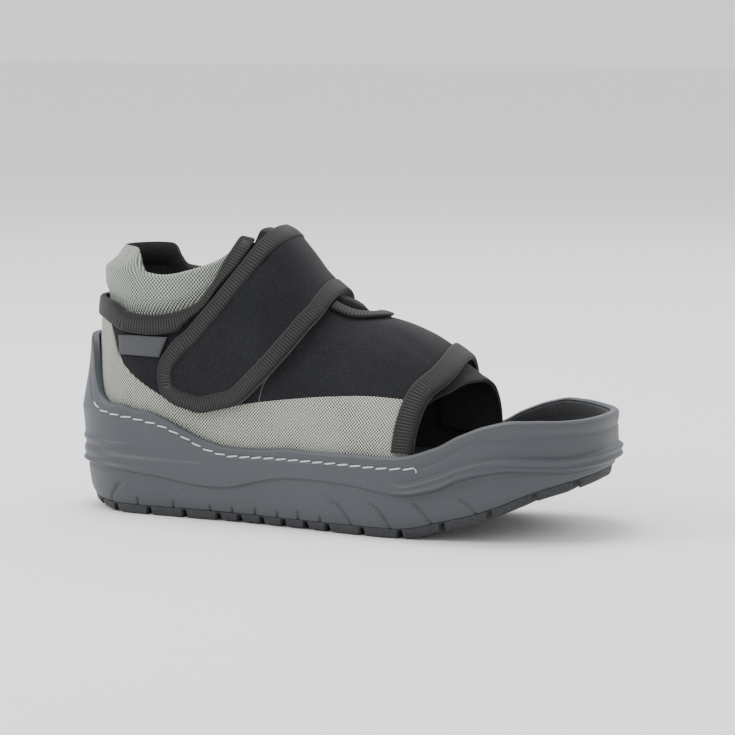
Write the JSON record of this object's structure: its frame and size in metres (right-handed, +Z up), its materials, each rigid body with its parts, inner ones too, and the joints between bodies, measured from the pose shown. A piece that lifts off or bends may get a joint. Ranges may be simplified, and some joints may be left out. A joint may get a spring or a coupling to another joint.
{
  "type": "post operative shoe",
  "caption": "Open-toe surgical shoe for the right foot with a rockered cup sole, soft textile upper, padded heel cuff and a wide strap over the instep",
  "frame": {"origin": "bottom centre of the bounding box, on the ground under the lugs", "axes": "X along the shoe towards the toe, Y across towards the medial side, Z up"},
  "size_m": [0.292, 0.1136, 0.1504],
  "materials": {
    "tread_rubber": "matte",
    "sole_side": "satin",
    "footbed": "matte",
    "upper_textile": "matte",
    "cuff_textile": "matte",
    "tongue_textile": "matte",
    "strap_textile": "matte",
    "tape": "matte",
    "flap_textile": "matte",
    "label": "matte"
  },
  "bodies": {
    "root": {"outsole": "tread_rubber", "midsole": "sole_side", "insole": "footbed", "upper": "upper_textile", "heel_cuff": "cuff_textile", "tongue": "tongue_textile", "ankle_strap": "strap_textile", "topline_binding": "tape", "throat_binding": "tape", "toe_binding": "tape", "vamp_underlap": "flap_textile", "side_tab": "label"}
  },
  "joints": []
}
